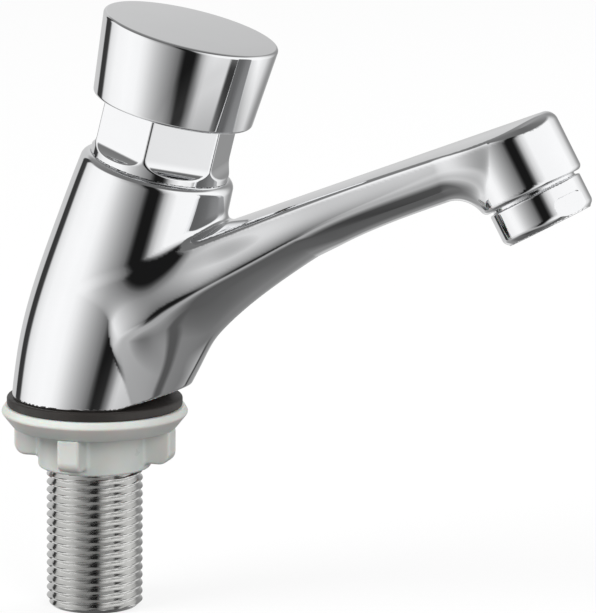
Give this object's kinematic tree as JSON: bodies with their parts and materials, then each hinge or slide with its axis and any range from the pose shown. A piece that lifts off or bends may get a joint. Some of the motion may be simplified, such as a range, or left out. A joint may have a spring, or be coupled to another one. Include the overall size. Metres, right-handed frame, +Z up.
{
  "type": "push timed tap",
  "caption": "Deck-mounted self-closing basin tap: press-down cap on a leaning body, tapered raised spout with aerator, threaded shank with washer and winged back nut.",
  "frame": {"origin": "on the threaded shank's axis, in the plane of the deck the tap stands on, which is the underside of its base gasket", "axes": "+Z up out of the deck, +X the way the spout reaches, the body and spout are symmetric about Y = 0"},
  "size_m": [0.1317, 0.0406, 0.1325],
  "materials": {
    "chrome": "polished chrome plate on cast brass",
    "chrome_cap": "polished chrome plate",
    "chrome_bonnet": "polished chrome plate",
    "chrome_aerator": "polished chrome plate",
    "plated_brass": "bright nickel plate on cut thread",
    "black_rubber": "matte",
    "white_plastic": "milky, slightly translucent",
    "white_plastic_nut": "milky, slightly translucent",
    "insert_plastic": "satin moulded",
    "steel_mesh": "woven wire",
    "outlet_rubber": "matte",
    "seal_rubber": "satin, greased",
    "steel_rod": "turned stainless steel",
    "spring_steel": "drawn stainless wire",
    "clip_steel": "stamped stainless steel",
    "brass": "turned brass",
    "nut_brass": "machined brass",
    "bush_plastic": "moulded acetal",
    "piston_plastic": "moulded acetal",
    "strainer_plastic": "moulded nylon"
  },
  "bodies": {
    "tap": {"tap_body": "chrome", "hex_bonnet": "chrome_bonnet", "base_gasket": "black_rubber", "inlet_shank": "plated_brass", "aerator_housing": "chrome_aerator", "aerator_insert": "insert_plastic", "aerator_screen": "steel_mesh", "aerator_washer": "outlet_rubber", "return_spring": "spring_steel", "guide_bush": "bush_plastic", "stem_o_ring": "seal_rubber", "bonnet_o_ring": "seal_rubber", "cartridge_barrel": "brass", "barrel_o_ring": "seal_rubber", "shank_o_ring": "seal_rubber", "inlet_strainer": "strainer_plastic"},
    "push": {"push_cap": "chrome_cap", "cap_lock_nut": "nut_brass", "stem": "steel_rod", "piston": "piston_plastic", "piston_cup_seal": "seal_rubber", "piston_circlip": "clip_steel", "valve_disc": "brass", "valve_washer": "seal_rubber", "valve_nut": "nut_brass"},
    "washer": {"deck_washer": "white_plastic"},
    "nut": {"back_nut": "white_plastic_nut"}
  },
  "joints": [
    {"name": "push", "type": "slide", "parent": "tap", "child": "push", "axis": [-0.2394, 0, -0.9709], "range_m": [0, 0.006], "stiffness_N_per_m": 1200, "springref_m": -0.008, "deforming": ["return_spring"]},
    {"name": "washer_slide", "type": "slide", "parent": "tap", "child": "washer", "axis": [0, 0, -1], "range_m": [0, 0.0274]},
    {"name": "nut_turn", "type": "hinge", "parent": "washer", "child": "nut", "pos_m": [0, 0, 0], "axis": [0, 0, -1], "range_deg": [0, 5400]}
  ],
  "couplings": [
    {"joint": "washer_slide", "follows": "nut_turn", "m_per_rad": 0.00028871}
  ]
}
